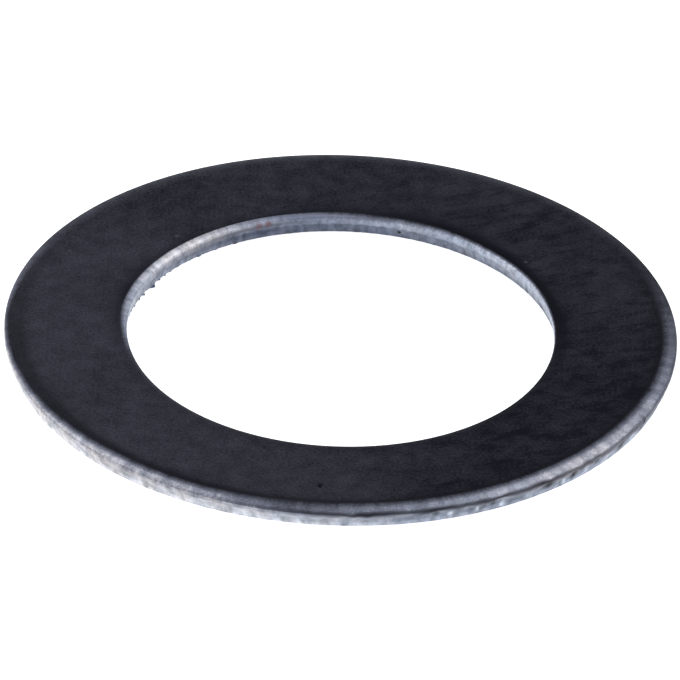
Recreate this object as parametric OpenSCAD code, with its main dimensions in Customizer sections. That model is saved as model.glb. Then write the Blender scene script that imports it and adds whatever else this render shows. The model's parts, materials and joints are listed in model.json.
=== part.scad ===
// A thin flat washer punched from steel sheet, lying with its rolled edges up.
// The punch leaves the same four zones down the outer edge and down the bore:
// a roll where the top face was drawn in, a smooth upright land, a fine step under the land,
// and a torn slope that leans away from the land as far as the bottom face.

/* [Ring] */
// Outside diameter, across the upright land
outer_d = 15.9; // [14:0.1:24]
// Bore diameter, across the upright land
bore_d = 10.1; // [6:0.1:12]
// Thickness of the sheet
thickness = 0.47; // [0.3:0.01:1.2]

/* [Outer edge] */
// Reach of the roll in over the top face
outer_roll_w = 0.36; // [0.15:0.01:0.45]
// Drop of the roll from the top face to the land
outer_roll_h = 0.1; // [0.06:0.01:0.13]
// Radius of the turn that ends the roll at the land
outer_turn_r = 0.05; // [0.02:0.005:0.055]
// Height of the smooth upright land
outer_land_h = 0.08; // [0.05:0.01:0.15]
// Depth of the fine step under the land
outer_step = 0.015; // [0.005:0.005:0.03]
// Lean of the torn slope, inwards from the land to the bottom face
outer_lean = 0.12; // [0.04:0.01:0.2]

/* [Bore edge] */
// Reach of the roll out over the top face
bore_roll_w = 0.2; // [0.15:0.01:0.45]
// Drop of the roll from the top face to the land
bore_roll_h = 0.07; // [0.06:0.01:0.13]
// Radius of the turn that ends the roll at the land
bore_turn_r = 0.04; // [0.02:0.005:0.055]
// Height of the smooth upright land that a shaft runs in
bore_land_h = 0.14; // [0.05:0.01:0.15]
// Depth of the fine step under the land
bore_step = 0.015; // [0.005:0.005:0.03]
// Lean of the torn slope, outwards from the land to the bottom face
bore_lean = 0.07; // [0.04:0.01:0.2]

/* [Hidden] */
outer_r = outer_d / 2;
bore_r = bore_d / 2;
// Heights at which the smooth lands end and the torn slopes begin
outer_tear_z = thickness - outer_roll_h - outer_land_h;
bore_tear_z = thickness - bore_roll_h - bore_land_h;
// How far a cutting shape runs past the metal it cuts
spill = 0.05;
// Steps round the ring and round the circles of a roll
ring_steps = 360;
roll_steps = 144;
// Blue-black of the rolled sheet's faces
sheet_colour = [0.2, 0.2, 0.24];

// Radius of the long arc that leaves the top face flush at reach w, drops towards h,
// and runs smoothly into a turn of radius r that ends upright at the edge
function sweep_radius(w, h, r) = ((w - r) * (w - r) + h * h - r * r) / (2 * (h - r));

// A slice of a disc between two directions, each a unit vector, less than a half turn apart
module disc_slice(radius, from, to) {
    reach = 2 * radius;
    intersection() {
        circle(r = radius, $fn = roll_steps);
        polygon([[0, 0], reach * from, reach * (from + to), reach * to]);
    }
}

// The metal missing from a square top corner whose edge is at x = 0 and whose top is at y = 0
module rolled_corner(w, h, r) {
    sweep_r = sweep_radius(w, h, r);
    // Direction in which the long arc meets the turn, the same from both centres
    meet = [w - r, sweep_r - h] / (sweep_r - r);
    difference() {
        translate([-w, -h]) square([w + spill, h + spill]);
        translate([-w, -sweep_r]) disc_slice(sweep_r, meet, [0, 1]);
        translate([-r, -h]) disc_slice(r, [1, 0], meet);
    }
}

// Half section of the ring: x is the distance from the axis, y the height above the bottom face
module ring_section() {
    difference() {
        polygon([
            [bore_r + bore_lean, 0],
            [outer_r - outer_lean, 0],
            [outer_r - outer_step, outer_tear_z],
            [outer_r, outer_tear_z],
            [outer_r, thickness],
            [bore_r, thickness],
            [bore_r, bore_tear_z],
            [bore_r + bore_step, bore_tear_z]
        ]);
        translate([outer_r, thickness]) rolled_corner(outer_roll_w, outer_roll_h, outer_turn_r);
        translate([bore_r, thickness]) mirror([1, 0]) rolled_corner(bore_roll_w, bore_roll_h, bore_turn_r);
    }
}

module washer() {
    color(sheet_colour) rotate_extrude($fn = ring_steps) ring_section();
}

washer();
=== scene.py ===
"""Dresses a thin steel washer as punched: blue-black faces, rolled and burnished edges, torn lower edges."""

import json
import logging
import math
from collections.abc import Iterable
from dataclasses import dataclass, field
from enum import Enum

import bpy
import numpy as np
from mathutils import Matrix, Vector

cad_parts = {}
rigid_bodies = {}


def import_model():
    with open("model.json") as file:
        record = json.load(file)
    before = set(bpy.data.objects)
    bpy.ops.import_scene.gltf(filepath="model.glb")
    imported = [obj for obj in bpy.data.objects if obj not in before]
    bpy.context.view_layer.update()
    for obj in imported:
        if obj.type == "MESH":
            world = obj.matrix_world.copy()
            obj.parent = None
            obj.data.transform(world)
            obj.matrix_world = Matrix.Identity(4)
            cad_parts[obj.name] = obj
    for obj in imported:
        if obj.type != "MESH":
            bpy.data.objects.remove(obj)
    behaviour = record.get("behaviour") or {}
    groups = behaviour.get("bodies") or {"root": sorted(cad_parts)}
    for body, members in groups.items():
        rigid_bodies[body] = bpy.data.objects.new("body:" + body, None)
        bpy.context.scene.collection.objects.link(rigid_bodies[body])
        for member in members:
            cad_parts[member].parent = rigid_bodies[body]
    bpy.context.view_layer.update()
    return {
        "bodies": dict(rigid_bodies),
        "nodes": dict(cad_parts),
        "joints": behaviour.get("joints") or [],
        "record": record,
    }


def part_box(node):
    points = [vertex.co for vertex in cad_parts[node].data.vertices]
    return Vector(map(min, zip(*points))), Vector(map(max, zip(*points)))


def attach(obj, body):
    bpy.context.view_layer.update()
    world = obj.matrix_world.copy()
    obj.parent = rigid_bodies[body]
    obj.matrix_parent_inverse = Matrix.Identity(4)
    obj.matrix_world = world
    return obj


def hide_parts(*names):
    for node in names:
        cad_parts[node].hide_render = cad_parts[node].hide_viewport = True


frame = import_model()

LOG = logging.getLogger("washer")

# One millimetre in the frame's own unit
MM = 0.001
# Input and output numbers of the colour form of the Mix node
MIX_A, MIX_B, MIX_RESULT = 6, 7, 2
# Socket types of the node groups
VALUE, COLOUR, VECTOR = "NodeSocketFloat", "NodeSocketColor", "NodeSocketVector"

# Radius of the cylinder on which drag lines are drawn, in millimetres, and how far heights are squeezed there
DRAWN_R = 6.5
DRAWN_SQUEEZE = 0.8
# How blotched the steel is on the land and on the torn slope
COARSE_LAND = 0.2
COARSE_TORN = 0.4
# Steps of the mesh round the tight end of a roll
TURN_STEPS = 4

# Short names for the types that most methods take or give back
Array = np.ndarray
Socket = bpy.types.NodeSocket
Rgba = tuple[float, float, float, float]
Triple = tuple[float, float, float]
Span = tuple[float, float]
# Angles in degrees round the ring from +X, counter-clockwise, each with the value that holds there
Marks = tuple[tuple[float, float], ...]


class Zone(Enum):
    """The zones of the ring's half section."""

    TOP_FACE = "top_face"
    BOTTOM_FACE = "bottom_face"
    ROLL = "roll"
    LAND = "land"
    TEAR = "tear"


class Coat(Enum):
    """The material slots of the ring's mesh, in order of which one wins where two zones meet."""

    FACE = 0
    BURNISH = 1
    TORN = 2


class Held(Enum):
    """The values that the mesh holds at its points, for the finishes to read."""

    BARE = "bare"
    # Painted shade of the dark line at the foot of the land and of the deep tears
    CREVICE = "crevice"
    # Painted shade on the film beside the rolls
    SHADE = "shade"
    # Stain and painted shade of the edges, set round the ring
    STAIN_AND_SHADE = "stain"
    WARM = "warm"


class MarkKind(Enum):
    """What a small spot on the ring is."""

    CHIP = "Chip"
    RUST = "Rust"
    DARK = "Dark"


COAT_OF = {
    Zone.TOP_FACE: Coat.FACE,
    Zone.BOTTOM_FACE: Coat.FACE,
    Zone.ROLL: Coat.BURNISH,
    Zone.LAND: Coat.BURNISH,
    Zone.TEAR: Coat.TORN,
}


def smooth_step(low: float, high: float, value: Array | float) -> Array:
    """Eases from 0 at low to 1 at high.

    Args:
        low: value at which the rise begins.
        high: value at which the rise ends.
        value: where to measure it.

    Returns:
        The eased share, from 0 to 1.
    """
    share = np.clip((np.asarray(value) - low) / (high - low), 0.0, 1.0)
    return share * share * (3.0 - 2.0 * share)


def at_stops(stops: tuple[float, ...], *values: float) -> Marks:
    """Pairs angles with the values that hold there."""
    return tuple(zip(stops, values, strict=True))


@dataclass(frozen=True)
class Ripple:
    """Seeded waves that close on themselves round the ring.

    fewest and most are how many waves stand in one turn, count is how many are added up, and size is their
    spread. seed is added to the edge's own seed, and drift is how far the waves shift down the edge, in radians.
    """

    fewest: int
    most: int
    count: int
    size: float
    seed: int
    drift: float = 0.0

    def heights(self, turn: Array, edge_seed: int, down: float = 0.0) -> Array:
        """Adds up the waves.

        Args:
            turn: angles round the ring, in radians.
            edge_seed: the edge's own seed.
            down: place down the edge, from 0 to 1, along which the waves shift.

        Returns:
            Heights about 0.
        """
        draw = np.random.default_rng(edge_seed + self.seed)
        numbers = draw.integers(self.fewest, self.most + 1, self.count)
        starts = draw.uniform(0.0, 2.0 * math.pi, self.count)
        shifts = draw.normal(0.0, self.drift, self.count)
        total = np.zeros_like(turn)
        for number, start, shift in zip(numbers, starts, shifts):
            total += np.cos(number * turn + start + shift * down)
        return self.size * (total / math.sqrt(self.count / 2.0))


# Waves of the tear line, of the dark line above it, of the torn slope and of the burr's teeth
TEAR_SLOW = Ripple(2, 11, 7, 0.012, 0)
TEAR_QUICK = Ripple(30, 160, 24, 0.007, 1)
LINE_WANDER = Ripple(6, 40, 12, 0.10, 80)
LINE_WIDTH = Ripple(12, 70, 12, 0.008, 82)
LINE_SWAY = Ripple(8, 60, 14, 0.006, 84)
TORN_RIDGES = Ripple(30, 180, 30, 0.24, 26, 2.5)
TORN_GRIT = Ripple(180, 460, 30, 0.08, 27, 6.0)
BURR_TEETH = Ripple(60, 170, 18, 1.0, 48)


@dataclass(frozen=True)
class EdgeForm:
    """Section of one sheared edge, in millimetres, measured in from the edge and down from the top face.

    reach and drop are the roll's width and depth, and turn is the radius of its tight end. land is the height of
    the burnished land. step and lean are how far the torn slope stands in at its top and at its foot. steps is
    how many steps the mesh takes along the roll's long arc.
    """

    reach: float
    drop: float
    turn: float
    land: float
    step: float
    lean: float
    steps: int

    def sweep_radius(self) -> float:
        """Radius of the long arc that leaves the top face and runs into the turn."""
        flat = (self.reach - self.turn) ** 2 + self.drop**2 - self.turn**2
        return flat / (2.0 * (self.drop - self.turn))

    def roll(self) -> list[Span]:
        """Points down the roll, from the top face to the land.

        Returns:
            Pairs of inset from the edge and depth below the top face.
        """
        sweep = self.sweep_radius()
        meet = math.atan2(self.reach - self.turn, sweep - self.drop)
        points = []
        for k in range(self.steps + 1):
            angle = meet * k / self.steps
            points.append((self.reach - sweep * math.sin(angle), sweep * (1.0 - math.cos(angle))))
        for k in range(1, TURN_STEPS + 1):
            angle = meet + (math.pi / 2.0 - meet) * k / TURN_STEPS
            points.append((self.turn - self.turn * math.sin(angle), self.drop - self.turn * math.cos(angle)))
        return points


@dataclass(frozen=True)
class Streak:
    """A mark across the edge: angle and half width in degrees, middle and half length, and its strength."""

    angle: float
    width: float
    middle: float
    length: float
    strength: float = 1.0


@dataclass(frozen=True)
class EdgeWear:
    """How one edge's looks change round the ring.

    bare is how far the film is rubbed off the roll, and onset and full are the places down the roll at which
    that begins and ends. shade is the painted shade that darkens the film beside the roll, and fade how far that
    reaches in from it, in millimetres. line is the strength of the dark line of painted shade under it, and
    line_at its height above the tear. warm and warm_low are how creamy the steel is above and below the tear.
    roll, land, slope and foot are the stain and painted shade of the edge's four zones, from below 0 where the
    steel is bright to above 1. seed is the edge's own seed. tears are the deep tears, painted dark as shade in
    them, with middles and lengths in millimetres up from the tear line, and flecks the bright flecks, placed by
    their share down the torn slope.
    """

    bare: Marks
    onset: Marks
    full: Marks
    shade: Marks
    fade: Marks
    line: Marks
    line_at: Marks
    warm: Marks
    warm_low: Marks
    roll: Marks
    land: Marks
    slope: Marks
    foot: Marks
    seed: int
    tears: tuple[Streak, ...] = ()
    flecks: tuple[Streak, ...] = ()


OUTER_FORM = EdgeForm(reach=0.36, drop=0.10, turn=0.05, land=0.08, step=0.015, lean=0.12, steps=8)
BORE_FORM = EdgeForm(reach=0.20, drop=0.07, turn=0.04, land=0.14, step=0.015, lean=0.07, steps=6)

# The shade, line and tears marks are painted shade; the roll, land, slope and foot marks are stain and painted
# shade, set round the ring
OUTER_WEAR = EdgeWear(
    bare=((0, 0.38), (10, 0.18), (22, 0.05), (60, 0.06), (90, 0.1), (150, 0.12), (178, 0.8), (193, 0.95),
          (210, 0.85), (228, 0.74), (245, 0.62), (262, 0.31), (279, 0.5), (296, 0.66), (312, 0.85), (330, 0.75),
          (346, 0.54)),
    onset=((0, 0.0), (30, -0.1), (90, -0.2), (140, -0.2), (165, 0.3), (178, 0.55), (193, 0.5), (210, 0.34),
           (228, 0.12), (245, 0.1), (262, -0.05), (279, -0.1), (296, -0.07), (312, -0.11), (330, -0.07),
           (346, -0.02)),
    full=((0, 0.4), (90, 0.5), (140, 0.5), (178, 0.85), (193, 0.8), (210, 0.72), (228, 0.52), (245, 0.5),
          (262, 0.42), (279, 0.36), (296, 0.37), (312, 0.32), (330, 0.34), (346, 0.35)),
    shade=((0, 0.8), (40, 0.2), (60, 0.0), (140, 0.0), (180, 0.55), (205, 0.65), (228, 0.9), (330, 0.9)),
    fade=((0, 0.16), (180, 0.16)),
    line=((0, 0.4), (180, 0.1), (225, 0.0), (248, 0.0), (256, 0.1), (264, 0.36), (275, 0.82), (290, 0.84),
          (303, 0.74), (320, 0.6), (338, 0.46)),
    line_at=((0, 0.06), (180, 0.07), (262, 0.075), (279, 0.085), (296, 0.085), (312, 0.08), (330, 0.085)),
    warm=((0, 0.35), (180, 0.95), (225, 0.85), (245, 0.75), (262, 0.4), (290, 0.2), (302, 0.5), (316, 0.9),
          (332, 0.75), (346, 0.4)),
    warm_low=((0, 0.4), (180, 0.85), (205, 0.65), (225, 0.6), (245, 0.5), (262, 0.45), (280, 0.15), (300, 0.0),
              (330, 0.05), (346, 0.4)),
    roll=((0, 0.8), (90, 0.77), (193, 0.65), (245, 0.68), (262, 0.83), (296, 0.8), (330, 0.74)),
    land=((0, 1.0), (90, 0.45), (193, 0.1), (210, 0.25), (228, 0.73), (245, 0.85), (262, 0.82), (296, 0.8),
          (312, 0.9), (330, 0.95), (346, 1.2)),
    slope=((0, 1.1), (90, 0.45), (193, -0.1), (210, 0.1), (228, 0.22), (245, 0.14), (262, 0.36), (279, 0.73),
           (296, 0.83), (330, 0.83), (346, 1.25)),
    foot=((0, 0.9), (90, 0.45), (180, -0.1), (228, -0.1), (245, -0.16), (262, -0.03), (279, 0.36), (296, 0.56),
          (330, 0.46), (346, 1.0)),
    seed=11,
    tears=(
        Streak(276.8, 0.9, 0.09, 0.05, 0.9),
        Streak(287.3, 0.6, -0.02, 0.08, 0.7),
        Streak(297.7, 0.6, -0.03, 0.08, 0.7),
        Streak(308.9, 1.1, -0.03, 0.09),
        Streak(314.6, 0.75, -0.06, 0.12),
        Streak(320.4, 0.5, -0.05, 0.09, 0.7),
        Streak(327.4, 0.75, -0.07, 0.12),
        Streak(334.8, 0.65, -0.02, 0.2),
    ),
    flecks=(
        Streak(289.9, 0.5, 0.35, 0.3),
        Streak(294.8, 0.3, 0.4, 0.3),
        Streak(299.5, 0.5, 0.5, 0.3),
        Streak(305.0, 0.9, 0.4, 0.4, 0.45),
        Streak(312.4, 0.35, 0.5, 0.3),
        Streak(317.6, 0.6, 0.4, 0.4, 0.45),
        Streak(323.6, 1.2, 0.4, 0.4, 0.4),
        Streak(331.4, 1.0, 0.4, 0.4, 0.45),
    ),
)

# Angles at which the stain and painted shade of the bore's four zones are set
BORE_STOPS = (13, 30, 47, 64, 81, 98, 115, 132, 150, 166, 270)
# The bore's shade and line marks are painted shade, and its roll, land, slope and foot marks stain and painted
# shade
BORE_WEAR = EdgeWear(
    bare=((0, 1.0), (180, 1.0), (196, 0.1), (344, 0.1)),
    onset=((0, 0.57), (13, 0.52), (30, 0.37), (47, 0.33), (64, 0.14), (81, 0.14), (98, -0.15), (115, -0.3),
           (150, -0.2), (166, -0.1), (185, 0.2)),
    full=((0, 0.92), (13, 0.87), (30, 0.72), (64, 0.86), (81, 1.15), (98, 0.7), (115, 0.05), (150, 0.24),
          (166, 0.33), (185, 0.6)),
    shade=((0, 0.8), (15, 1.0), (64, 1.1), (81, 0.8), (98, 0.7), (110, 0.5), (150, 0.6), (166, 0.9), (190, 0.2),
           (345, 0.2)),
    fade=((0, 0.09), (30, 0.11), (47, 0.2), (64, 0.3), (81, 0.24), (98, 0.2), (115, 0.14), (132, 0.1),
          (150, 0.2), (166, 0.26), (190, 0.16)),
    line=((0, 0.0), (92, 0.0), (108, 0.3), (122, 0.3), (138, 0.0), (180, 0.0)),
    line_at=((0, 0.08), (180, 0.08)),
    warm=((0, 0.3), (13, 0.25), (47, 0.1), (95, 0.0), (112, 0.45), (124, 0.85), (135, 0.95), (145, 0.75),
          (160, 0.45), (180, 0.4), (270, 0.4)),
    warm_low=((0, 0.4), (13, 0.3), (40, 0.1), (140, 0.05), (165, 0.3), (270, 0.4)),
    roll=at_stops(BORE_STOPS, 0.71, 0.64, 0.78, 0.89, 1.08, 1.22, 1.07, 0.66, 0.61, 0.95, 0.83),
    land=at_stops(BORE_STOPS, 0.5, 0.56, 0.54, 0.8, 0.84, 1.05, 1.12, 1.0, 0.9, 0.65, 0.4),
    slope=at_stops(BORE_STOPS, 0.42, 0.5, 0.7, 0.92, 1.07, 1.12, 1.24, 1.05, 0.85, 0.5, 0.5),
    foot=at_stops(BORE_STOPS, 1.15, 0.83, 0.93, 1.02, 1.1, 1.1, 1.12, 0.88, 0.65, 0.6, 0.7),
    seed=23,
)


@dataclass(frozen=True)
class Edge:
    """One punched edge: its radius in millimetres, the sign of the way into the metal, its section and wear."""

    radius: float
    inward: float
    form: EdgeForm
    wear: EdgeWear

    def into(self, way: Array | float) -> Array | float:
        """Radius at a way into the metal from the edge, in millimetres."""
        return self.radius + self.inward * way


@dataclass(frozen=True)
class Burr:
    """The ragged teeth left at the foot of the bore, in degrees and millimetres.

    middle and spread are the place and half width of the most ragged stretch, and tallest_at and tallest_width
    those of the tallest tooth. low, high and tallest are the teeth's reach all round, in that stretch, and at
    that tooth. cut is how much of the waves is cut away between the teeth, most is the tallest wave kept, and
    start is the share down the torn slope at which the teeth begin.
    """

    middle: float = 151.0
    spread: float = 24.0
    tallest_at: float = 152.0
    tallest_width: float = 1.1
    low: float = 0.004
    high: float = 0.036
    tallest: float = 0.10
    cut: float = 0.35
    most: float = 2.0
    start: float = 0.66


@dataclass(frozen=True)
class Row:
    """One ring of points: its zone and edge, radius and height in millimetres, and its place down the zone."""

    zone: Zone
    edge: Edge | None
    radius: float
    height: float
    down: float


@dataclass(frozen=True)
class SpotMark:
    """A small spot: its kind, place and radius in millimetres, its length along Y, and how far it covers."""

    kind: MarkKind
    x: float
    y: float
    z: float
    radius: float
    long: float = 1.0
    cover: float = 1.0


# The dark spots are painted near black: PIT as painted shade in the pit's hollow, and the last one a small dark
# spot on the bore's wall
PIT = SpotMark(MarkKind.DARK, -0.367, -6.829, 0.47, 0.085, 1.6)
SPOTS = (
    PIT,
    SpotMark(MarkKind.CHIP, -3.962, 3.926, 0.47, 0.085),
    SpotMark(MarkKind.CHIP, -6.484, 3.099, 0.47, 0.06),
    SpotMark(MarkKind.CHIP, 4.344, 3.266, 0.47, 0.06),
    SpotMark(MarkKind.RUST, -2.02, 4.63, 0.37, 0.11, cover=0.8),
    SpotMark(MarkKind.RUST, -1.81, 4.72, 0.39, 0.10, cover=0.8),
    SpotMark(MarkKind.DARK, 1.32, 4.91, 0.15, 0.055),
)


@dataclass(frozen=True)
class Speckle:
    """Soft noise: its cells in a millimetre, how many finer layers it has, and how far it swings a tone."""

    scale: float
    detail: float
    swing: float


class NodeSheet:
    """Places and joins the nodes of one shader tree or group."""

    def __init__(self, tree: bpy.types.NodeTree) -> None:
        """Keeps the tree that the nodes go into."""
        self.tree = tree

    def feed(self, node: bpy.types.Node, inputs: dict) -> None:
        """Joins sockets to a node's inputs, and sets the inputs that are plain values.

        Args:
            node: the node.
            inputs: the sockets and values, by the inputs' names or numbers.
        """
        for key, value in inputs.items():
            if isinstance(value, Socket):
                self.tree.links.new(value, node.inputs[key])
            else:
                node.inputs[key].default_value = value

    def add(self, kind: str, inputs: dict | None = None, **settings: object) -> bpy.types.Node:
        """Adds one node.

        Args:
            kind: Blender's name for the node's type.
            inputs: values, or sockets to join, for the node's inputs by name or number.
            settings: the node's own options.

        Returns:
            The new node.
        """
        node = self.tree.nodes.new(kind)
        for name, value in settings.items():
            setattr(node, name, value)
        self.feed(node, inputs or {})
        return node

    def group(self, tree: bpy.types.NodeTree, inputs: dict) -> bpy.types.NodeOutputs:
        """Places a node group, joins its inputs and returns its outputs."""
        return self.add("ShaderNodeGroup", inputs, node_tree=tree).outputs

    def math(self, operation: str, first: object, second: object = 0.0) -> Socket:
        """Works out one sum of two numbers or sockets and returns its socket."""
        return self.add("ShaderNodeMath", {0: first, 1: second}, operation=operation).outputs[0]

    def times(self, first: object, second: object) -> Socket:
        """Multiplies two numbers or sockets and returns the product's socket."""
        return self.math("MULTIPLY", first, second)

    def total(self, *parts: object) -> Socket:
        """Adds up numbers and sockets.

        Args:
            parts: the numbers and sockets.

        Returns:
            The sum's socket.
        """
        result = parts[0]
        for part in parts[1:]:
            result = self.math("ADD", result, part)
        return result

    def sway(self, noise: Socket, reach: float) -> Socket:
        """Turns noise from 0 to 1 into a swing about 0, of the given reach each way."""
        return self.times(self.math("SUBTRACT", noise, 0.5), 2.0 * reach)

    def mix(self, share: object, first: object, second: object) -> Socket:
        """Mixes two colours by a share and returns the colour's socket."""
        node = self.add("ShaderNodeMix", {0: share, MIX_A: first, MIX_B: second}, data_type="RGBA")
        return node.outputs[MIX_RESULT]

    def spread(self, value: object, old: Span, new: Span = (0.0, 1.0), eased: bool = True) -> Socket:
        """Moves a value from one range to another and holds it there.

        Args:
            value: the number or socket to change.
            old: start and end of the old range.
            new: start and end of the new range.
            eased: whether it starts and ends softly.

        Returns:
            The changed value's socket.
        """
        places = {0: value, 1: old[0], 2: old[1], 3: new[0], 4: new[1]}
        kind = "SMOOTHSTEP" if eased else "LINEAR"
        return self.add("ShaderNodeMapRange", places, interpolation_type=kind).outputs[0]

    def noise(self, place: Socket, speckle: Speckle) -> Socket:
        """Adds soft noise from 0 to 1, read at a place in millimetres, and returns its socket."""
        inputs = {"Vector": place, "Scale": speckle.scale, "Detail": speckle.detail}
        return self.add("ShaderNodeTexNoise", inputs).outputs["Fac"]

    def stretch(self, place: Socket, scale: Triple, turn_deg: float = 0.0) -> Socket:
        """Stretches a place along its own axes after a turn about the ring's axis.

        Args:
            place: the place to change.
            scale: factors along X, Y and Z.
            turn_deg: turn about Z, in degrees.

        Returns:
            The changed place's socket.
        """
        turn = (0.0, 0.0, math.radians(turn_deg))
        turned = self.add("ShaderNodeMapping", {"Vector": place, "Rotation": turn}).outputs[0]
        return self.add("ShaderNodeMapping", {"Vector": turned, "Scale": scale}).outputs[0]

    def vector(self, operation: str, first: object, second: object) -> Socket:
        """Works out one sum of two vectors and returns its socket."""
        return self.add("ShaderNodeVectorMath", {0: first, 1: second}, operation=operation).outputs[0]

    def scaled(self, vector: Socket, scale: object) -> Socket:
        """Multiplies a vector or colour by a number or socket and returns its socket."""
        return self.add("ShaderNodeVectorMath", {0: vector, "Scale": scale}, operation="SCALE").outputs[0]

    def drawn(self, place: Socket) -> Socket:
        """Draws a place out across the ring's edge, so that noise read there runs in lines from roll to foot.

        Args:
            place: the place to change, in millimetres.

        Returns:
            The place moved onto one cylinder round the axis, with its height squeezed.
        """
        flat = self.vector("MULTIPLY", place, (1.0, 1.0, 0.0))
        course = self.add("ShaderNodeVectorMath", {0: flat}, operation="NORMALIZE").outputs[0]
        rim = self.vector("MULTIPLY", course, (DRAWN_R, DRAWN_R, 0.0))
        return self.vector("ADD", rim, self.vector("MULTIPLY", place, (0.0, 0.0, DRAWN_SQUEEZE)))

    def place_mm(self) -> Socket:
        """The surface point in the ring's own frame, in millimetres."""
        return self.scaled(self.add("ShaderNodeTexCoord").outputs["Object"], 1.0 / MM)

    def held(self, value: Held) -> Socket:
        """A value that the mesh holds at its points."""
        return self.add("ShaderNodeAttribute", attribute_name=value.value).outputs["Fac"]

    def all_held(self, *values: Held) -> dict[str, Socket]:
        """Values that the mesh holds at its points, by the names that the node groups give them."""
        return {value.value.title(): self.held(value) for value in values}


def fresh_sheet(owner: bpy.types.Material | bpy.types.World) -> NodeSheet:
    """Starts an empty shader tree.

    Args:
        owner: the material or world that it belongs to.

    Returns:
        A sheet for its nodes.
    """
    owner.use_nodes = True
    owner.node_tree.nodes.clear()
    return NodeSheet(owner.node_tree)


def new_group(
    name: str, inputs: dict[str, str], outputs: dict[str, str]
) -> tuple[bpy.types.NodeTree, NodeSheet, bpy.types.NodeOutputs]:
    """Starts a shader node group.

    Args:
        name: the group's name.
        inputs: input names and their socket types.
        outputs: output names and their socket types.

    Returns:
        The group, a sheet for its nodes, and the sockets at which its inputs come in.
    """
    group = bpy.data.node_groups.new(name, "ShaderNodeTree")
    for in_out, sockets in (("INPUT", inputs), ("OUTPUT", outputs)):
        for label, kind in sockets.items():
            group.interface.new_socket(label, in_out=in_out, socket_type=kind)
    sheet = NodeSheet(group)
    return group, sheet, sheet.add("NodeGroupInput").outputs


def new_object(name: str, data: bpy.types.ID) -> bpy.types.Object:
    """Adds an object to the scene.

    Args:
        name: the object's name.
        data: its mesh, lamp or camera.

    Returns:
        The object.
    """
    made = bpy.data.objects.new(name, data)
    bpy.context.scene.collection.objects.link(made)
    return made


@dataclass(frozen=True)
class MillFilm:
    """The thin blue-black film that rolling leaves on sheet steel, paler towards one side by painted shading.

    deep and pale are its colours, beside is the colour of the painted shade beside the rolls, and
    painted_shading_way is the direction along which the painted shading darkens it. cloud, mottle and grain
    make it uneven. dash is its short darker dashes, drawn out by dash_scale after dash_turn in degrees.
    back_tone is the even tone towards which the painted shading is brought at the back, and rough its least
    and most roughness.
    """

    deep: Rgba = (0.0012, 0.0016, 0.0050, 1.0)
    pale: Rgba = (0.0466, 0.0462, 0.0625, 1.0)
    beside: Rgba = (0.0010, 0.0012, 0.0038, 1.0)
    # Painted shading: the film is darker along this direction, lighter at the left and darker at the right
    painted_shading_way: Triple = (0.99, 0.10, 0.0)
    cloud: Speckle = Speckle(0.5, 2.0, 0.22)
    mottle: Speckle = Speckle(2.4, 3.0, 0.33)
    grain: Speckle = Speckle(15.0, 2.0, 0.58)
    dash: Speckle = Speckle(1.0, 1.5, -0.13)
    dash_scale: Triple = (1.1, 3.8, 1.0)
    dash_turn: float = -20.0
    back_tone: float = 0.31
    rough: Span = (0.44, 0.58)

    def group(self) -> bpy.types.NodeTree:
        """Colour, roughness and relief of the film.

        Returns:
            The node group.
        """
        group, sheet, entry = new_group(
            "mill_film", {"Place": VECTOR, "Shade": VALUE}, {"Colour": COLOUR, "Rough": VALUE, "Height": VALUE}
        )
        place = entry["Place"]
        leaning = sheet.add("ShaderNodeVectorMath", {0: place, 1: self.painted_shading_way}, operation="DOT_PRODUCT")
        across = leaning.outputs["Value"]
        cloud = sheet.noise(place, self.cloud)
        mottle = sheet.noise(place, self.mottle)
        grain = sheet.noise(place, self.grain)
        dashes = sheet.noise(sheet.stretch(place, self.dash_scale, self.dash_turn), self.dash)
        dashed = sheet.times(sheet.spread(dashes, (0.50, 0.64)), sheet.spread(across, (-3.0, 4.0)))
        # Painted shading: the tone falls from left to right, and is evened towards back_tone at the back
        depth = sheet.add("ShaderNodeSeparateXYZ", {0: place}).outputs["Y"]
        back = sheet.total(depth, sheet.times(across, 0.3))
        behind = sheet.spread(back, (0.0, 5.0), (0.0, 0.95))
        level = sheet.total(
            sheet.spread(across, (-7.0, -1.0), (0.10, 0.0), False),
            sheet.spread(across, (-2.0, 3.6), (0.48, 0.14)),
        )
        evened = sheet.times(sheet.math("SUBTRACT", self.back_tone, level), behind)
        flicker = sheet.total(
            sheet.sway(cloud, self.cloud.swing),
            sheet.sway(mottle, self.mottle.swing),
            sheet.sway(grain, self.grain.swing),
        )
        reach = sheet.spread(across, (-2.0, 4.0), (1.0, 0.8))
        tone = sheet.total(level, evened, sheet.times(flicker, reach), sheet.times(dashed, self.dash.swing))
        film = sheet.mix(tone, self.deep, self.pale)
        results = {
            # Painted shade: beside the rolls the film is mixed towards the darker beside colour
            "Colour": sheet.mix(sheet.spread(entry["Shade"], (0.0, 1.1), eased=False), film, self.beside),
            "Rough": sheet.spread(grain, (0.3, 0.7), self.rough),
            "Height": sheet.total(sheet.times(grain, 0.7), sheet.times(mottle, 0.5)),
        }
        sheet.add("NodeGroupOutput", results)
        return group


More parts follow.
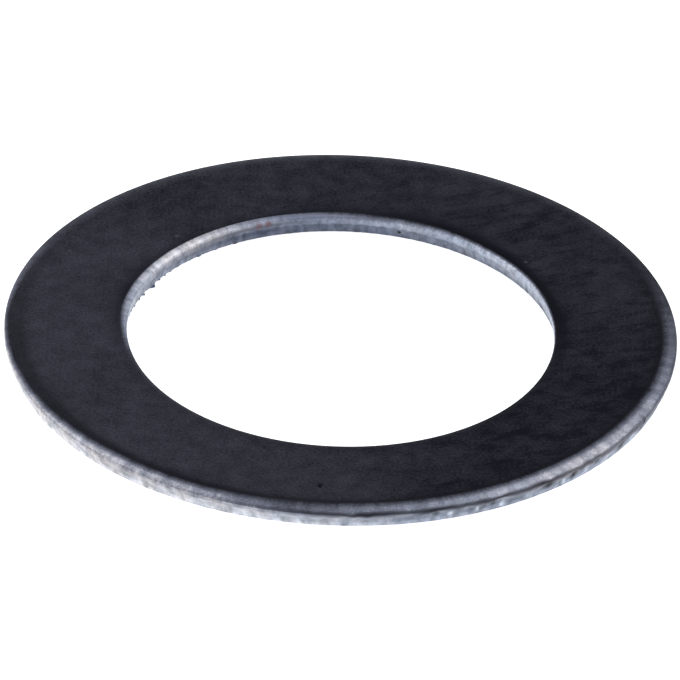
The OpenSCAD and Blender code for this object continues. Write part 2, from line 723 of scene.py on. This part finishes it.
@dataclass(frozen=True)
class PunchedSteel:
    """Bare steel on a punched edge: bright where it was dragged, and blue-grey elsewhere by stain and painted
    shade.

    bright and warm are its two clean colours, which cast mixes, and stained_and_shaded is the colour of its stain
    and painted shade. drag, blotch and grain make it uneven, and blotches are drawn out by blotch_scale. darkest
    is the least share of light kept.
    """

    bright: Rgba = (0.555, 0.618, 0.725, 1.0)
    warm: Rgba = (0.685, 0.652, 0.640, 1.0)
    stained_and_shaded: Rgba = (0.050, 0.062, 0.105, 1.0)
    drag: Speckle = Speckle(5.0, 3.0, 0.75)
    blotch: Speckle = Speckle(1.0, 2.0, 0.9)
    blotch_scale: Triple = (7.0, 7.0, 2.0)
    grain: Speckle = Speckle(20.0, 2.0, 0.35)
    cast: Speckle = Speckle(2.5, 2.0, 0.6)
    darkest: float = 0.2

    def group(self) -> bpy.types.NodeTree:
        """Colour, streaks, grain and relief of the steel.

        Returns:
            The node group.
        """
        group, sheet, entry = new_group(
            "punched_steel",
            {"Place": VECTOR, "Stain": VALUE, "Crevice": VALUE, "Warm": VALUE, "Coarse": VALUE},
            {"Colour": COLOUR, "Dark": VALUE, "Streaks": VALUE, "Grain": VALUE, "Height": VALUE},
        )
        place = entry["Place"]
        drags = sheet.noise(sheet.drawn(place), self.drag)
        blotch = sheet.noise(sheet.stretch(place, self.blotch_scale), self.blotch)
        grain = sheet.noise(place, self.grain)
        cast = sheet.sway(sheet.noise(sheet.drawn(place), self.cast), self.cast.swing)
        steel = sheet.mix(sheet.total(entry["Warm"], cast), self.bright, self.warm)
        uneven = sheet.total(
            sheet.times(sheet.sway(blotch, self.blotch.swing), entry["Coarse"]),
            sheet.sway(grain, self.grain.swing),
            sheet.sway(drags, self.drag.swing),
        )
        # Stain and painted shade turn the steel towards its blue-grey colour
        stain = sheet.spread(entry["Stain"], (-0.2, 1.3), eased=False)
        swing = sheet.spread(entry["Coarse"], (COARSE_LAND, COARSE_TORN), (0.95, 1.1), False)
        lit = sheet.math("MAXIMUM", sheet.total(1.0, sheet.times(uneven, swing)), self.darkest)
        # Painted shade: the dark line and deep tears, roughened by the streaks, make the Dark mask for the
        # crevice colour
        ragged = sheet.total(entry["Crevice"], sheet.times(uneven, 0.35))
        dark = sheet.spread(ragged, (0.0, 0.9), eased=False)
        results = {
            "Colour": sheet.scaled(sheet.mix(stain, steel, self.stained_and_shaded), lit),
            "Dark": sheet.times(dark, sheet.spread(entry["Crevice"], (0.0, 0.25))),
            "Streaks": drags,
            "Grain": grain,
            "Height": sheet.total(
                sheet.times(drags, 0.4), sheet.times(grain, 0.3), sheet.times(blotch, entry["Coarse"])
            ),
        }
        sheet.add("NodeGroupOutput", results)
        return group


@dataclass(frozen=True)
class SmallSpots:
    """The few small spots, each with a ragged rim that fades between two shares of its radius."""

    spots: tuple[SpotMark, ...]
    rag: Speckle = Speckle(14.0, 2.0, 0.5)
    rim: Span = (0.25, 1.20)

    def group(self) -> bpy.types.NodeTree:
        """One mask for each kind of spot.

        Returns:
            The node group.
        """
        kinds = {kind.value: VALUE for kind in MarkKind}
        group, sheet, entry = new_group("small_spots", {"Place": VECTOR}, kinds)
        ragged = sheet.sway(sheet.noise(entry["Place"], self.rag), self.rag.swing)
        masks = {kind.value: 0.0 for kind in MarkKind}
        for spot in self.spots:
            offset = sheet.vector("SUBTRACT", entry["Place"], (spot.x, spot.y, spot.z))
            offset = sheet.vector("DIVIDE", offset, (spot.radius, spot.radius * spot.long, spot.radius))
            away = sheet.add("ShaderNodeVectorMath", {0: offset}, operation="LENGTH").outputs["Value"]
            cover = sheet.spread(sheet.total(away, ragged), self.rim, (spot.cover, 0.0))
            masks[spot.kind.value] = sheet.math("MAXIMUM", masks[spot.kind.value], cover)
        sheet.add("NodeGroupOutput", masks)
        return group


class SharedEffects:
    """The surface effects that more than one finish uses, each built once as a node group."""

    def __init__(self) -> None:
        """Builds the groups."""
        self.film = MillFilm().group()
        self.steel = PunchedSteel().group()
        self.spots = SmallSpots(SPOTS).group()


@dataclass(frozen=True)
class Finish:
    """What every finish of the ring has: a name, the bump's height in millimetres, and the colours of spots."""

    name: str
    relief: float
    chip: Rgba = (0.042, 0.041, 0.050, 1.0)
    rust: Rgba = (0.120, 0.074, 0.088, 1.0)
    # Near black for the dark spots, the painted shade in the pit
    dark: Rgba = (0.002, 0.002, 0.003, 1.0)
    # Colour of the painted shade in the dark line and deep tears
    crevice: Rgba = (0.030, 0.030, 0.042, 1.0)

    def start(self) -> tuple[bpy.types.Material, NodeSheet, bpy.types.Node]:
        """Starts a material.

        Returns:
            The material, a sheet for its nodes, and its surface shader.
        """
        material = bpy.data.materials.new(self.name)
        sheet = fresh_sheet(material)
        shader = sheet.add("ShaderNodeBsdfPrincipled")
        sheet.add("ShaderNodeOutputMaterial", {"Surface": shader.outputs[0]})
        return material, sheet, shader

    def relief_of(self, sheet: NodeSheet, height: Socket) -> Socket:
        """Turns a height, about 0 to 1, into a bumped normal."""
        bump = sheet.add("ShaderNodeBump", {"Strength": 1.0, "Distance": self.relief * MM, "Height": height})
        return bump.outputs[0]


@dataclass(frozen=True)
class BluedFace(Finish):
    """The matt blue-black film on the rolled faces."""

    specular: float = 0.022
    sheen_tint: Rgba = (0.60, 0.66, 1.0, 1.0)

    def make(self, effects: SharedEffects) -> bpy.types.Material:
        """Builds the material.

        Args:
            effects: the shared node groups.

        Returns:
            The material.
        """
        material, sheet, shader = self.start()
        place = sheet.place_mm()
        film = sheet.group(effects.film, {"Place": place, **sheet.all_held(Held.SHADE)})
        spots = sheet.group(effects.spots, {"Place": place})
        colour = sheet.mix(spots["Chip"], film["Colour"], self.chip)
        # The pit is painted near black, a painted shade in its hollow
        inputs = {
            "Base Color": sheet.mix(spots["Dark"], colour, self.dark),
            "Roughness": sheet.math("MAXIMUM", film["Rough"], spots["Dark"]),
            "Normal": self.relief_of(sheet, film["Height"]),
            "Specular IOR Level": self.specular,
            "Specular Tint": self.sheen_tint,
        }
        sheet.feed(shader, inputs)
        return material


@dataclass(frozen=True)
class BurnishedEdge(Finish):
    """The roll and land: the blue film thins down the roll until the dragged steel is bare.

    worn is the colour of the thinned film, and patchy is how far streaks and grain shift the way it thins. rough
    is the roughness of the film and of the bare steel.
    """

    worn: Rgba = (0.095, 0.102, 0.133, 1.0)
    patchy: float = 0.22
    rough: Span = (0.50, 0.38)
    specular: float = 0.022
    sheen_tint: Rgba = (0.90, 0.93, 1.0, 1.0)

    def make(self, effects: SharedEffects) -> bpy.types.Material:
        """Builds the material.

        Args:
            effects: the shared node groups.

        Returns:
            The material.
        """
        material, sheet, shader = self.start()
        place = sheet.place_mm()
        film = sheet.group(effects.film, {"Place": place, **sheet.all_held(Held.SHADE)})
        held = sheet.all_held(Held.STAIN_AND_SHADE, Held.CREVICE, Held.WARM)
        steel = sheet.group(effects.steel, {"Place": place, "Coarse": COARSE_LAND, **held})
        spots = sheet.group(effects.spots, {"Place": place})
        uneven = sheet.total(sheet.sway(steel["Streaks"], self.patchy), sheet.sway(steel["Grain"], self.patchy))
        rubbed = sheet.held(Held.BARE)
        bare = sheet.total(rubbed, sheet.times(uneven, sheet.spread(rubbed, (0.0, 0.2))))
        colour = sheet.mix(sheet.spread(bare, (0.0, 0.55), eased=False), film["Colour"], self.worn)
        colour = sheet.mix(sheet.spread(bare, (0.50, 1.0), eased=False), colour, steel["Colour"])
        # Painted shade in the dark line and deep tears
        colour = sheet.mix(steel["Dark"], colour, self.crevice)
        shown = sheet.math("SUBTRACT", sheet.spread(bare, (0.0, 0.45), eased=False), steel["Dark"])
        inputs = {
            "Base Color": sheet.mix(spots["Rust"], colour, self.rust),
            "Metallic": sheet.math("MAXIMUM", shown, 0.0),
            "Roughness": sheet.spread(bare, (0.0, 1.0), self.rough, False),
            "Normal": self.relief_of(sheet, steel["Height"]),
            "Specular IOR Level": self.specular,
            "Specular Tint": self.sheen_tint,
        }
        sheet.feed(shader, inputs)
        return material


@dataclass(frozen=True)
class TornEdge(Finish):
    """The lower part of the edge, where the steel tore: rough and blotched, with painted shade in its crevices.
    """

    metallic: float = 0.85
    rough: Span = (0.42, 0.60)
    specular: float = 0.1

    def make(self, effects: SharedEffects) -> bpy.types.Material:
        """Builds the material.

        Args:
            effects: the shared node groups.

        Returns:
            The material.
        """
        material, sheet, shader = self.start()
        place = sheet.place_mm()
        held = sheet.all_held(Held.STAIN_AND_SHADE, Held.CREVICE, Held.WARM)
        steel = sheet.group(effects.steel, {"Place": place, "Coarse": COARSE_TORN, **held})
        spots = sheet.group(effects.spots, {"Place": place})
        # Painted shade in the dark line and deep tears
        colour = sheet.mix(steel["Dark"], steel["Colour"], self.crevice)
        colour = sheet.mix(spots["Rust"], colour, self.rust)
        inputs = {
            "Base Color": sheet.mix(spots["Dark"], colour, self.dark),
            "Metallic": sheet.spread(steel["Dark"], (0.0, 1.0), (self.metallic, 0.0), False),
            "Roughness": sheet.spread(steel["Grain"], (0.3, 0.7), self.rough),
            "Normal": self.relief_of(sheet, steel["Height"]),
            "Specular IOR Level": self.specular,
        }
        sheet.feed(shader, inputs)
        return material


@dataclass
class PunchedRing:
    """The washer itself: one punched ring, lathed from its half section and roughened where the steel tore.

    rim and hole are its two edges, and thickness is in millimetres. pit is the small pit in the top face and
    pit_depth its depth. rub_rate turns a way in from the outer roll, in millimetres, into a place above it.
    waver_share is how much of the land the tear line may waver over. line_width and line_depth are the half
    width and depth of the dark line of painted shade, and torn_depth is the depth of the torn roughness.
    crown_clean is how much cleaner the steel is rubbed at the crown, and crown_reach how far that reaches.
    fleck_height and fleck_shine are how far a fleck stands out and how much of the stain and shade it lacks.
    burr_shade is the painted shade added for each millimetre of a tooth. warm_end is the share down the slope at
    which its warmth is all its own. sharp_deg is the angle past which an edge of the mesh is sharp, and segments
    is how many points stand in a row.
    """

    rim: Edge
    hole: Edge
    thickness: float
    burr: Burr = Burr()
    pit: SpotMark = PIT
    pit_depth: float = 0.05
    rub_rate: float = 2.1
    waver_share: float = 0.6
    line_width: float = 0.060
    line_depth: float = 0.012
    torn_depth: float = 0.018
    crown_clean: float = 0.15
    crown_reach: float = 0.04
    fleck_height: float = 0.025
    fleck_shine: float = 1.3
    burr_shade: float = 13.0
    warm_end: float = 0.4
    sharp_deg: float = 50.0
    segments: int = 1440
    turn: Array = field(init=False)

    def __post_init__(self) -> None:
        """Sets the angles of the points in a row, in radians."""
        self.turn = np.linspace(0.0, 2.0 * math.pi, self.segments, endpoint=False)

    @classmethod
    def from_frame(cls, packed: dict) -> "PunchedRing":
        """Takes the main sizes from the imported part.

        Args:
            packed: what the frame holds.

        Returns:
            The ring at its real size.
        """
        low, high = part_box("washer")
        mounts = {mount["name"]: mount for mount in packed["record"]["mounts"]}
        return cls(
            rim=Edge((high.x - low.x) / 2.0 / MM, -1.0, OUTER_FORM, OUTER_WEAR),
            hole=Edge(mounts["bore"]["dims"]["r_mm"], 1.0, BORE_FORM, BORE_WEAR),
            thickness=(high.z - low.z) / MM,
        )

    def rows(self) -> list[Row]:
        """The rings of points, from the bore's roll out over the top, down, in under the foot and up the bore.

        Returns:
            The rows in order.
        """
        inner_flat = self.hole.into(self.hole.form.reach)
        outer_flat = self.rim.into(self.rim.form.reach)
        pit_r = math.hypot(self.pit.x, self.pit.y)
        radii = [pit_r + self.pit.radius * self.pit.long * k / 3.0 for k in range(-3, 4)]
        radii += [inner_flat + gap for gap in (0.0, 0.1, 0.22, 0.4)]
        radii += [outer_flat - gap for gap in (0.22, 0.4)]
        rows = [Row(Zone.TOP_FACE, None, radius, self.thickness, 0.0) for radius in sorted(radii)]
        for gap in (0.1, 0.05, 0.0):
            rows.append(Row(Zone.ROLL, self.rim, outer_flat - gap, self.thickness, -gap * self.rub_rate))
        rows += self._roll_rows(self.rim)
        rows += self._wall_rows(Zone.LAND, self.rim, (0.33, 0.67, 1.0))
        rows += self._wall_rows(Zone.TEAR, self.rim, np.linspace(0.0, 1.0, 12))
        foot_out = self.rim.into(self.rim.form.lean)
        foot_in = self.hole.into(self.hole.form.lean)
        for share in (0.02, 0.5, 0.98):
            rows.append(Row(Zone.BOTTOM_FACE, None, foot_out + (foot_in - foot_out) * share, 0.0, 0.0))
        rows += self._wall_rows(Zone.TEAR, self.hole, np.linspace(1.0, 0.0, 10))
        rows += self._wall_rows(Zone.LAND, self.hole, (1.0, 0.67, 0.33))
        rows += list(reversed(self._roll_rows(self.hole)))
        return rows

    def _roll_rows(self, edge: Edge) -> list[Row]:
        """Rows down one roll, below the row of the top face at which it starts.

        Args:
            edge: the edge.

        Returns:
            The rows, from the top face to the land.
        """
        points = edge.form.roll()
        rows = []
        for k, (inset, depth) in enumerate(points[1:], 1):
            rows.append(Row(Zone.ROLL, edge, edge.into(inset), self.thickness - depth, k / (len(points) - 1)))
        return rows

    @staticmethod
    def _wall_rows(zone: Zone, edge: Edge, shares: Iterable[float]) -> list[Row]:
        """Rows at the given shares down a land or a torn slope, whose places are set by the relief."""
        return [Row(zone, edge, 0.0, 0.0, share) for share in shares]

    def at(self, marks: Marks) -> Array:
        """Runs a value round the ring through its marks and returns it at each angle."""
        bearings, values = zip(*marks)
        return np.interp(np.degrees(self.turn), bearings, values, period=360.0)

    def hump(self, middle: float, width: float) -> Array:
        """A smooth hump of height 1 round one angle, by its middle and half width in degrees."""
        away = np.angle(np.exp(1j * (self.turn - math.radians(middle))))
        return np.exp(-((np.degrees(away) / width) ** 2))

    def streak(self, mark: Streak, place: Array | float) -> Array:
        """How far a streak covers the points at a place along it."""
        along = mark.strength * np.exp(-(((place - mark.middle) / mark.length) ** 2))
        return self.hump(mark.angle, mark.width) * along

    def crown(self, edge: Edge) -> float:
        """Height at which an edge's roll meets its land, in millimetres."""
        return self.thickness - edge.form.drop

    def crown_rub(self, away: Array | float) -> Array:
        """How much cleaner the steel is rubbed near the crown, by the way from it in millimetres."""
        return self.crown_clean * np.exp(-((away / self.crown_reach) ** 2))

    def tear_height(self, edge: Edge) -> Array:
        """Height of the wavering line at which the land gives way to the torn slope.

        Args:
            edge: the edge.

        Returns:
            Heights above the bottom face, in millimetres.
        """
        seed = edge.wear.seed
        most = self.waver_share * edge.form.land
        waver = TEAR_SLOW.heights(self.turn, seed) + TEAR_QUICK.heights(self.turn, seed)
        return self.crown(edge) - edge.form.land + np.clip(waver, -most, most)

    def shape(self, rows: list[Row]) -> dict[str, Array]:
        """Places every point and works out the values that the finishes read.

        Args:
            rows: the rings of points.

        Returns:
            Radius and height in millimetres, and the held values, each by row and angle.
        """
        names = ["radius", "height"] + [held.value for held in Held]
        fields = {name: np.zeros((len(rows), self.segments)) for name in names}
        makers = {Zone.ROLL: self._roll, Zone.LAND: self._land, Zone.TEAR: self._slope}
        for k, row in enumerate(rows):
            make = makers.get(row.zone, self._face)
            for name, value in make(row).items():
                fields[name][k] = value
        return fields

    def _face(self, row: Row) -> dict[str, Array | float]:
        """One row of a face: its place, the pit, and the painted shade on the film beside the rolls.

        Args:
            row: the row.

        Returns:
            Its values by name.
        """
        sink = self.pit_sink(row.radius) if row.zone is Zone.TOP_FACE else 0.0
        return {"radius": row.radius, "height": row.height - sink, Held.SHADE.value: self.shade(row.radius)}

    def _roll(self, row: Row) -> dict[str, Array | float]:
        """One row of a roll: the film thins and the steel shows more towards the land.

        Args:
            row: the row.

        Returns:
            Its values by name.
        """
        wear = row.edge.wear
        crown = self.crown(row.edge)
        from_crown = math.hypot(row.radius - row.edge.radius, row.height - crown)
        above = crown - self.tear_height(row.edge) + from_crown
        onset = self.at(wear.onset)
        rubbed = np.clip((row.down - onset) / (self.at(wear.full) - onset), 0.0, 1.0)
        return {
            "radius": row.radius,
            "height": row.height,
            Held.BARE.value: rubbed * self.at(wear.bare),
            Held.CREVICE.value: self.dark_line(wear, above),
            Held.SHADE.value: self.shade(row.radius),
            Held.STAIN_AND_SHADE.value: self.at(wear.roll) - self.crown_rub(from_crown),
            Held.WARM.value: self.at(wear.warm),
        }

    def _land(self, row: Row) -> dict[str, Array | float]:
        """One row of a land, which ends at the tear's wavering line.

        Args:
            row: the row.

        Returns:
            Its values by name.
        """
        tear = self.tear_height(row.edge)
        crown = self.crown(row.edge)
        height = crown + (tear - crown) * row.down
        return {
            "radius": row.edge.radius,
            "height": height,
            Held.BARE.value: 1.0,
            Held.CREVICE.value: self.dark_line(row.edge.wear, height - tear),
            Held.STAIN_AND_SHADE.value: self.stain(row.edge, height, tear),
            Held.WARM.value: self.at(row.edge.wear.warm),
        }

    def _slope(self, row: Row) -> dict[str, Array | float]:
        """One row of a torn slope, with its flecks and teeth.

        Args:
            row: the row.

        Returns:
            Its values by name.
        """
        edge = row.edge
        wear = edge.wear
        tear = self.tear_height(edge)
        height = tear * (1.0 - row.down)
        line = self.dark_line(wear, height - tear)
        bright = np.minimum(sum(self.streak(fleck, row.down) for fleck in wear.flecks), 1.0)
        teeth = self.teeth(row.down) if edge is self.hole else 0.0
        inset = self.torn_inset(edge, row.down) + self.line_depth * line * (1.0 - row.down)
        inset = np.maximum(inset - self.fleck_height * bright, 0.0)
        # Painted shade on the burr's teeth is added to the stain and shade of the slope
        stain = self.stain(edge, height, tear) - self.fleck_shine * bright + self.burr_shade * teeth
        warm = self.at(wear.warm)
        change = self.at(wear.warm_low) - warm
        return {
            "radius": edge.into(inset) - teeth,
            "height": height,
            Held.BARE.value: 1.0,
            Held.CREVICE.value: line,
            Held.STAIN_AND_SHADE.value: stain,
            Held.WARM.value: warm + change * smooth_step(0.0, self.warm_end, row.down),
        }

    def shade(self, radius: float) -> Array:
        """How much painted shade darkens the film near the two rolls.

        Args:
            radius: the row's radius, in millimetres.

        Returns:
            The share of darkness at each angle.
        """
        total = np.zeros_like(self.turn)
        for edge in (self.rim, self.hole):
            away = max(edge.inward * (radius - edge.into(edge.form.reach)), 0.0)
            total += np.exp(-((away / self.at(edge.wear.fade)) ** 2)) * self.at(edge.wear.shade)
        return total

    def stain(self, edge: Edge, height: Array, tear: Array) -> Array:
        """Stain and painted shade of an edge below its roll, eased from the foot's to the slope's, the land's and
        the roll's.

        Args:
            edge: the edge.
            height: heights above the bottom face, in millimetres.
            tear: heights of the tear line.

        Returns:
            The stain and painted shade at each angle.
        """
        wear = edge.wear
        crown = self.crown(edge) / tear
        share = height / tear
        up_land = (share - 1.0) / (crown - 1.0)
        result = self.at(wear.foot)
        for marks, low, high, place in (
            (wear.slope, 0.15, 0.6, share),
            (wear.land, 0.8, 1.1, share),
            (wear.roll, 0.5, 1.2, up_land),
        ):
            result = result + (self.at(marks) - result) * smooth_step(low, high, place)
        return result - self.crown_rub((crown - share) * tear)

    def dark_line(self, wear: EdgeWear, above: Array) -> Array:
        """Painted shade of the line at the foot of the land, and of the deep tears that hang from it.

        Args:
            wear: how the edge's looks change round the ring.
            above: way up the surface from the tear, in millimetres, below 0 on the torn slope.

        Returns:
            The share of darkness, from 0 to 1.
        """
        strength = self.at(wear.line) * (1.0 + LINE_WANDER.heights(self.turn, wear.seed))
        width = self.line_width + LINE_WIDTH.heights(self.turn, wear.seed)
        centre = self.at(wear.line_at) + LINE_SWAY.heights(self.turn, wear.seed)
        line = np.clip(strength, 0.0, 1.0) * np.exp(-(((above - centre) / width) ** 2))
        for tear in wear.tears:
            line = np.maximum(line, self.streak(tear, above))
        return line

    def torn_inset(self, edge: Edge, down: float) -> Array:
        """How far the torn slope stands in from the land.

        Args:
            edge: the edge.
            down: place down the slope, from 0 at the land to 1 at the foot.

        Returns:
            Insets in millimetres.
        """
        slope = edge.form.step + (edge.form.lean - edge.form.step) * down
        ridges = TORN_RIDGES.heights(self.turn, edge.wear.seed, down)
        grit = TORN_GRIT.heights(self.turn, edge.wear.seed, down)
        rough = np.clip(0.5 + ridges + grit, 0.0, 1.2)
        return slope + self.torn_depth * rough * math.sin(math.pi * (0.12 + 0.76 * down))

    def teeth(self, down: float) -> Array:
        """Ragged teeth left at the foot of the bore, standing into the hole.

        Args:
            down: place down the slope.

        Returns:
            Reach of the teeth into the hole, in millimetres.
        """
        burr = self.burr
        waves = BURR_TEETH.heights(self.turn, self.hole.wear.seed)
        teeth = np.clip(waves - burr.cut, 0.0, burr.most)
        sector = self.hump(burr.middle, burr.spread)
        tall = self.hump(burr.tallest_at, burr.tallest_width)
        reach = burr.low * teeth + burr.high * sector * teeth + burr.tallest * tall
        return reach * float(smooth_step(burr.start, 1.0, down))

    def pit_sink(self, radius: float) -> Array:
        """Depth of the small pit in the top face at the points of one row.

        Args:
            radius: the row's radius, in millimetres.

        Returns:
            Depths in millimetres.
        """
        aside = radius * np.cos(self.turn) - self.pit.x
        along = (radius * np.sin(self.turn) - self.pit.y) / self.pit.long
        share = np.hypot(aside, along) / self.pit.radius
        return self.pit_depth * (1.0 - smooth_step(0.3, 1.0, share))

    def build(self) -> bpy.types.Object:
        """Makes the ring's mesh.

        Returns:
            The washer's object, with its held values and the finish of each face.
        """
        rows = self.rows()
        count = len(rows)
        fields = self.shape(rows)
        points = np.empty((count, self.segments, 3))
        points[..., 0] = fields["radius"] * np.cos(self.turn) * MM
        points[..., 1] = fields["radius"] * np.sin(self.turn) * MM
        points[..., 2] = fields["height"] * MM
        here = np.arange(count * self.segments).reshape(count, self.segments)
        below = np.roll(here, -1, axis=0)
        faces = np.stack([here, below, np.roll(below, -1, axis=1), np.roll(here, -1, axis=1)], axis=-1)
        mesh = bpy.data.meshes.new("washer_ring")
        mesh.from_pydata(points.reshape(-1, 3).tolist(), [], faces.reshape(-1, 4).tolist())
        for held in Held:
            stored = mesh.attributes.new(held.value, "FLOAT", "POINT")
            stored.data.foreach_set("value", fields[held.value].astype(np.float32).ravel())
        coats = [self._coat(row.zone, rows[(k + 1) % count].zone).value for k, row in enumerate(rows)]
        mesh.polygons.foreach_set("material_index", np.repeat(coats, self.segments).astype(np.int32))
        mesh.shade_smooth()
        mesh.set_sharp_from_angle(angle=math.radians(self.sharp_deg))
        mesh.update()
        return new_object("washer_ring", mesh)

    @staticmethod
    def _coat(first: Zone, second: Zone) -> Coat:
        """The finish of the faces between two rows: the torn finish wins, then the burnished one."""
        return max(COAT_OF[first], COAT_OF[second], key=lambda coat: coat.value)

    def dress(self, ring: bpy.types.Object, effects: SharedEffects) -> None:
        """Gives the ring its finishes and ties it to the frame.

        Args:
            ring: the ring's object.
            effects: the shared node groups.
        """
        ring.data.materials.append(BluedFace("blued_face", relief=0.003).make(effects))
        ring.data.materials.append(BurnishedEdge("burnished_edge", relief=0.003).make(effects))
        ring.data.materials.append(TornEdge("torn_edge", relief=0.010).make(effects))
        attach(ring, "root")
        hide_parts("washer")


@dataclass(frozen=True)
class SoftBox:
    """A square lamp that faces the ring, placed by bearing and height in degrees and by millimetres."""

    name: str
    bearing: float
    height: float
    away: float
    side: float
    radiance: float

    def place(self) -> None:
        """Hangs the lamp."""
        bearing = math.radians(self.bearing)
        height = math.radians(self.height)
        flat = math.cos(height)
        heading = Vector((math.sin(bearing) * flat, -math.cos(bearing) * flat, math.sin(height)))
        lamp = bpy.data.lights.new(self.name, "AREA")
        lamp.shape = "SQUARE"
        lamp.size = self.side * MM
        lamp.energy = self.radiance * math.pi * lamp.size**2
        box = new_object(self.name, lamp)
        box.location = heading * self.away * MM
        box.rotation_mode = "QUATERNION"
        box.rotation_quaternion = heading.to_track_quat("Z", "Y")
        box.visible_camera = False


@dataclass(frozen=True)
class Studio:
    """The pale floor, the soft light and the camera, whose values come from the photograph's framing.

    Sizes of the photograph are in pixels, angles in degrees and other lengths in millimetres. clip is the nearest
    and farthest way that the camera sees, in the frame's own unit.
    """

    photo_px: float = 680.0
    focal_px: float = 20000.0
    sensor: float = 36.0
    elevation: float = 32.26
    roll: float = 1.85
    eye_away: float = 472.37
    eye_right: float = -0.005
    eye_up: float = 0.147
    clip: Span = (0.001, 10.0)
    floor_side: float = 4000.0
    floor_drop: float = 0.01
    floor_glow: float = 0.72
    floor_grey: Rgba = (0.85, 0.85, 0.85, 1.0)
    room_white: Rgba = (1.0, 1.0, 1.0, 1.0)
    room_strength: float = 0.28
    lamps: tuple[SoftBox, ...] = (
        SoftBox("left_box", -132.0, 55.0, 100.0, 81.0, 1.6),
        SoftBox("right_box", 132.0, 55.0, 100.0, 81.0, 1.6),
        SoftBox("left_fill", -90.0, 26.0, 110.0, 106.0, 0.7),
        SoftBox("front_left_fill", -32.0, 26.0, 110.0, 106.0, 0.7),
        SoftBox("front_right_fill", 32.0, 26.0, 110.0, 106.0, 0.7),
        SoftBox("right_fill", 90.0, 26.0, 110.0, 106.0, 0.7),
    )

    def set_camera(self) -> None:
        """Sets the camera at the photograph's viewing angle."""
        lift = math.radians(self.elevation)
        roll = math.radians(self.roll)
        back = Vector((0.0, -math.cos(lift), math.sin(lift)))
        level = Vector((1.0, 0.0, 0.0))
        upright = back.cross(level)
        right = level * math.cos(roll) + upright * math.sin(roll)
        up = upright * math.cos(roll) - level * math.sin(roll)
        eye = (back * self.eye_away + right * self.eye_right + up * self.eye_up) * MM
        lens = bpy.data.cameras.new("camera")
        lens.sensor_width = self.sensor
        lens.lens = self.focal_px * self.sensor / self.photo_px
        lens.clip_start, lens.clip_end = self.clip
        camera = new_object("camera", lens)
        turned = Matrix((right, up, back)).transposed().to_4x4()
        camera.matrix_world = Matrix.Translation(eye) @ turned
        bpy.context.scene.camera = camera

    def lay_floor(self) -> None:
        """Lays the white floor, which shows white and keeps the ring's shadow."""
        half = self.floor_side / 2.0
        corners = ((-half, -half), (half, -half), (half, half), (-half, half))
        points = [(x * MM, y * MM, -self.floor_drop * MM) for x, y in corners]
        mesh = bpy.data.meshes.new("floor")
        mesh.from_pydata(points, [], [(0, 1, 2, 3)])
        floor = new_object("floor", mesh)
        material = bpy.data.materials.new("white_floor")
        sheet = fresh_sheet(material)
        glow = sheet.add("ShaderNodeEmission", {"Strength": sheet.times(self._seen(sheet), self.floor_glow)})
        plain = sheet.add("ShaderNodeBsdfDiffuse", {"Color": self.floor_grey})
        both = sheet.add("ShaderNodeAddShader", {0: glow.outputs[0], 1: plain.outputs[0]})
        sheet.add("ShaderNodeOutputMaterial", {"Surface": both.outputs[0]})
        mesh.materials.append(material)

    @staticmethod
    def _seen(sheet: NodeSheet) -> Socket:
        """1 for rays from the camera, from gloss and through glass, and 0 for the rest.

        Args:
            sheet: the sheet that the nodes go on.

        Returns:
            The value's socket.
        """
        path = sheet.add("ShaderNodeLightPath").outputs
        seen = sheet.math("MAXIMUM", path["Is Camera Ray"], path["Is Glossy Ray"])
        return sheet.math("MAXIMUM", seen, path["Is Transmission Ray"])

    def hang_sky(self) -> None:
        """Sets the world: an even dim room, and plain white behind the ring and in its gloss."""
        world = bpy.data.worlds.new("studio")
        sheet = fresh_sheet(world)
        strength = sheet.math("MAXIMUM", self.room_strength, self._seen(sheet))
        sky = sheet.add("ShaderNodeBackground", {"Color": self.room_white, "Strength": strength})
        sheet.add("ShaderNodeOutputWorld", {"Surface": sky.outputs[0]})
        bpy.context.scene.world = world

    def light(self) -> None:
        """Hangs every lamp."""
        for lamp in self.lamps:
            lamp.place()


def main() -> None:
    """Builds the ring and its studio."""
    logging.basicConfig(level=logging.INFO, format="%(name)s: %(message)s")
    bpy.context.scene.view_settings.view_transform = "Standard"
    ring_maker = PunchedRing.from_frame(frame)
    ring = ring_maker.build()
    ring_maker.dress(ring, SharedEffects())
    LOG.info("%s: %d faces", ring.name, len(ring.data.polygons))
    studio = Studio()
    studio.set_camera()
    studio.lay_floor()
    studio.hang_sky()
    studio.light()
    LOG.info("studio: %d lamps", len(studio.lamps))


if __name__ == "__main__":
    main()
